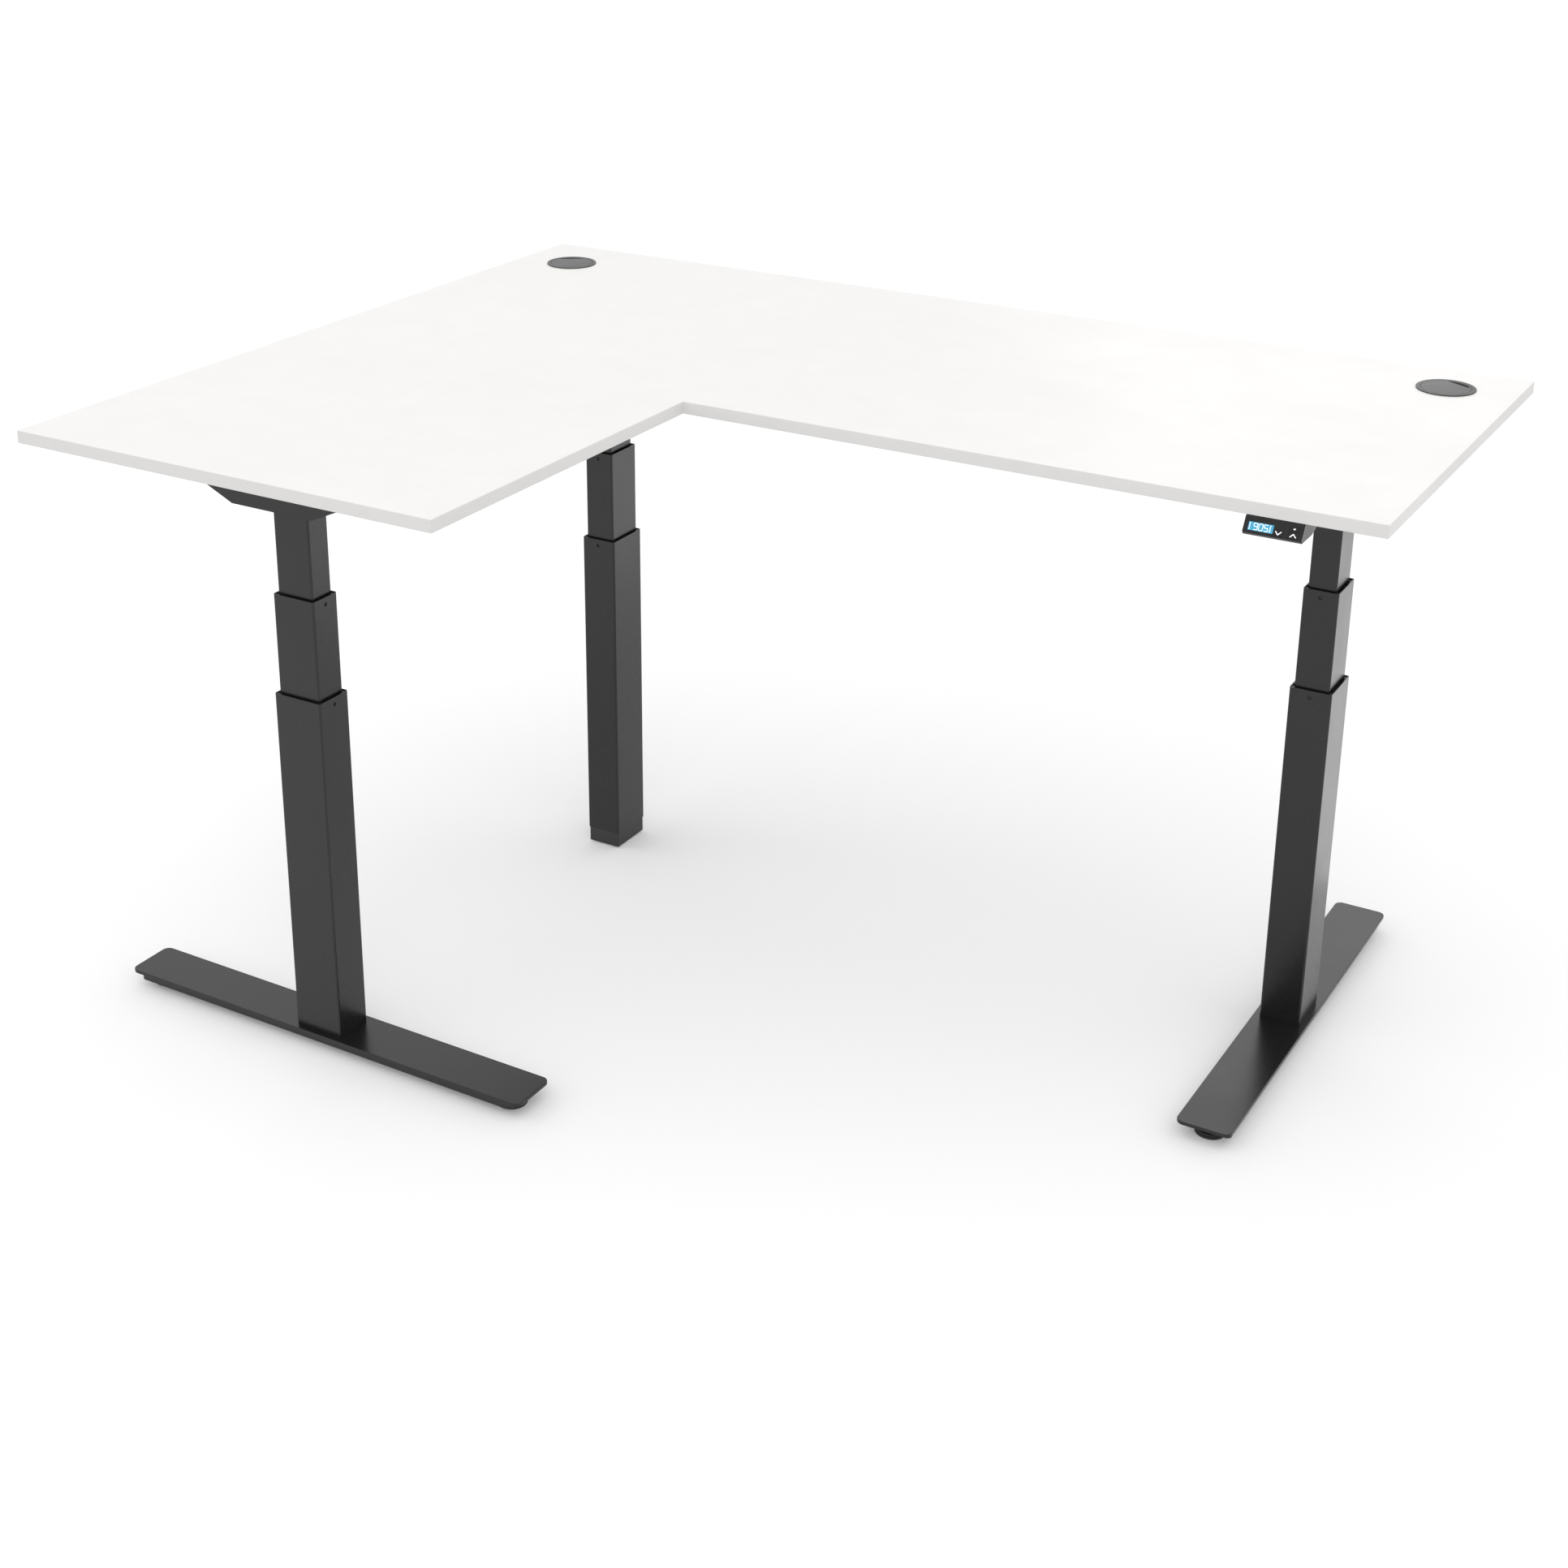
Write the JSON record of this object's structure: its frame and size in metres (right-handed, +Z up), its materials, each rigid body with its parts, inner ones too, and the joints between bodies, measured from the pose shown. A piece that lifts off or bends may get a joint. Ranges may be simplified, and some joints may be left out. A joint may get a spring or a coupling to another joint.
{
  "type": "height adjustable standing desk",
  "caption": "L-shaped electric standing desk with a white top, dark telescopic three-stage columns, T-feet, cable grommets and a keypad.",
  "frame": {"origin": "centre of the desktop's outer box, on the floor", "axes": "+Z up, X along the long back edge (at +Y), the left wing comes forward along -Y"},
  "size_m": [1.7, 1.3, 0.907],
  "materials": {
    "white_laminate": "matt melamine",
    "white_edging": "matt",
    "charcoal_powder_coat": "satin powder coat",
    "black_nylon": "moulded",
    "bronze_nut": "machined",
    "bright_steel": "rolled thread",
    "black_plastic": "moulded",
    "black_rubber": "matt",
    "grey_plastic": "fine texture",
    "cast_aluminium": "as cast",
    "motor_steel": "satin",
    "zinc_steel": "zinc plated",
    "gloss_black": "gloss",
    "blue_display": "gloss window",
    "circuit_board": "solder mask"
  },
  "bodies": {
    "left_base": {"left_outer_tube": "charcoal_powder_coat", "left_outer_glide": "black_nylon", "left_screw_post": "bright_steel", "left_foot": "charcoal_powder_coat"},
    "left_middle": {"left_middle_tube": "charcoal_powder_coat", "left_middle_glides": "black_nylon"},
    "left_spindle_body": {"left_spindle": "bright_steel"},
    "left_rod_body": {"left_drive_rod": "bright_steel"},
    "top": {"desktop": "white_laminate", "edge_band": "white_edging", "corner_grommet_sleeve": "grey_plastic", "right_grommet_sleeve": "grey_plastic", "left_head_tray": "charcoal_powder_coat", "right_head_tray": "charcoal_powder_coat", "corner_head_tray": "charcoal_powder_coat", "left_beam_inner": "charcoal_powder_coat", "left_beam_outer": "charcoal_powder_coat", "right_beam_inner": "charcoal_powder_coat", "right_beam_outer": "charcoal_powder_coat", "gearboxes": "cast_aluminium", "lift_motors": "motor_steel", "left_inner_tube": "charcoal_powder_coat", "corner_inner_tube": "charcoal_powder_coat", "right_inner_tube": "charcoal_powder_coat", "lift_nuts": "bronze_nut", "frame_screws": "zinc_steel", "keypad_housing": "black_plastic", "keypad_fascia": "gloss_black", "keypad_display": "blue_display", "keypad_board": "circuit_board", "control_box_base": "black_plastic", "control_box_lid": "black_plastic", "control_board": "circuit_board"},
    "corner_middle": {"corner_middle_tube": "charcoal_powder_coat", "corner_middle_glides": "black_nylon"},
    "corner_base": {"corner_outer_tube": "charcoal_powder_coat", "corner_outer_glide": "black_nylon", "corner_screw_post": "bright_steel", "corner_foot": "black_plastic"},
    "corner_spindle_body": {"corner_spindle": "bright_steel"},
    "corner_rod_body": {"corner_drive_rod": "bright_steel"},
    "right_middle": {"right_middle_tube": "charcoal_powder_coat", "right_middle_glides": "black_nylon"},
    "right_base": {"right_outer_tube": "charcoal_powder_coat", "right_outer_glide": "black_nylon", "right_screw_post": "bright_steel", "right_foot": "charcoal_powder_coat"},
    "right_spindle_body": {"right_spindle": "bright_steel"},
    "right_rod_body": {"right_drive_rod": "bright_steel"},
    "corner_cap": {"corner_grommet_cap": "grey_plastic"},
    "right_cap": {"right_grommet_cap": "grey_plastic"},
    "down_key": {"key_down": "gloss_black"},
    "up_key": {"key_up": "gloss_black"},
    "memory_key": {"key_memory": "gloss_black"},
    "left_front_pad": {"left_front_leveller": "black_rubber"},
    "left_rear_pad": {"left_rear_leveller": "black_rubber"},
    "right_front_pad": {"right_front_leveller": "black_rubber"},
    "right_rear_pad": {"right_rear_leveller": "black_rubber"},
    "corner_pad": {"corner_leveller": "black_rubber"}
  },
  "joints": [
    {"name": "left_lower_stage", "type": "slide", "parent": "left_base", "child": "left_middle", "axis": [0, 0, 1], "range_m": [-0.104, 0.186]},
    {"name": "left_upper_stage", "type": "slide", "parent": "left_middle", "child": "top", "axis": [0, 0, 1], "range_m": [-0.104, 0.186]},
    {"name": "corner_upper_stage", "type": "slide", "parent": "top", "child": "corner_middle", "axis": [0, 0, -1], "range_m": [-0.104, 0.186]},
    {"name": "corner_lower_stage", "type": "slide", "parent": "corner_middle", "child": "corner_base", "axis": [0, 0, -1], "range_m": [-0.104, 0.186]},
    {"name": "right_upper_stage", "type": "slide", "parent": "top", "child": "right_middle", "axis": [0, 0, -1], "range_m": [-0.104, 0.186]},
    {"name": "right_lower_stage", "type": "slide", "parent": "right_middle", "child": "right_base", "axis": [0, 0, -1], "range_m": [-0.104, 0.186]},
    {"name": "left_spindle_turn", "type": "hinge", "parent": "left_middle", "child": "left_spindle_body", "pos_m": [-0.483, -0.508, 0.3], "axis": [0, 0, 1], "continuous": true},
    {"name": "left_rod_turn", "type": "hinge", "parent": "top", "child": "left_rod_body", "pos_m": [-0.483, -0.508, 0.5], "axis": [0, 0, 1], "continuous": true},
    {"name": "corner_spindle_turn", "type": "hinge", "parent": "corner_middle", "child": "corner_spindle_body", "pos_m": [-0.483, 0.244, 0.3], "axis": [0, 0, 1], "continuous": true},
    {"name": "corner_rod_turn", "type": "hinge", "parent": "top", "child": "corner_rod_body", "pos_m": [-0.483, 0.244, 0.5], "axis": [0, 0, 1], "continuous": true},
    {"name": "right_spindle_turn", "type": "hinge", "parent": "right_middle", "child": "right_spindle_body", "pos_m": [0.695, 0.244, 0.3], "axis": [0, 0, 1], "continuous": true},
    {"name": "right_rod_turn", "type": "hinge", "parent": "top", "child": "right_rod_body", "pos_m": [0.695, 0.244, 0.5], "axis": [0, 0, 1], "continuous": true},
    {"name": "corner_cap_turn", "type": "hinge", "parent": "top", "child": "corner_cap", "pos_m": [-0.751, 0.534, 0.905], "axis": [0, 0, 1], "continuous": true},
    {"name": "right_cap_turn", "type": "hinge", "parent": "top", "child": "right_cap", "pos_m": [0.75, 0.548, 0.905], "axis": [0, 0, 1], "continuous": true},
    {"name": "down_press", "type": "slide", "parent": "top", "child": "down_key", "axis": [0, 0.8453, -0.5344], "range_m": [0, 0.0008], "stiffness_N_per_m": 600, "springref_m": -0.0015},
    {"name": "up_press", "type": "slide", "parent": "top", "child": "up_key", "axis": [0, 0.8453, -0.5344], "range_m": [0, 0.0008], "stiffness_N_per_m": 600, "springref_m": -0.0015},
    {"name": "memory_press", "type": "slide", "parent": "top", "child": "memory_key", "axis": [0, 0.8453, -0.5344], "range_m": [0, 0.0008], "stiffness_N_per_m": 600, "springref_m": -0.0015},
    {"name": "left_front_levelling", "type": "slide", "parent": "left_base", "child": "left_front_pad", "axis": [0, 0, -1], "range_m": [0, 0.01]},
    {"name": "left_rear_levelling", "type": "slide", "parent": "left_base", "child": "left_rear_pad", "axis": [0, 0, -1], "range_m": [0, 0.01]},
    {"name": "right_front_levelling", "type": "slide", "parent": "right_base", "child": "right_front_pad", "axis": [0, 0, -1], "range_m": [0, 0.01]},
    {"name": "right_rear_levelling", "type": "slide", "parent": "right_base", "child": "right_rear_pad", "axis": [0, 0, -1], "range_m": [0, 0.01]},
    {"name": "corner_levelling", "type": "slide", "parent": "corner_base", "child": "corner_pad", "axis": [0, 0, -1], "range_m": [0, 0.01]}
  ],
  "couplings": [
    {"joint": "left_upper_stage", "follows": "left_lower_stage", "ratio": 1},
    {"joint": "corner_upper_stage", "follows": "left_lower_stage", "ratio": 1},
    {"joint": "corner_lower_stage", "follows": "left_lower_stage", "ratio": 1},
    {"joint": "right_upper_stage", "follows": "left_lower_stage", "ratio": 1},
    {"joint": "right_lower_stage", "follows": "left_lower_stage", "ratio": 1},
    {"joint": "left_spindle_turn", "follows": "left_lower_stage", "rad_per_m": 392.7},
    {"joint": "left_rod_turn", "follows": "left_lower_stage", "rad_per_m": 392.7},
    {"joint": "corner_spindle_turn", "follows": "left_lower_stage", "rad_per_m": 392.7},
    {"joint": "corner_rod_turn", "follows": "left_lower_stage", "rad_per_m": 392.7},
    {"joint": "right_spindle_turn", "follows": "left_lower_stage", "rad_per_m": 392.7},
    {"joint": "right_rod_turn", "follows": "left_lower_stage", "rad_per_m": 392.7}
  ]
}
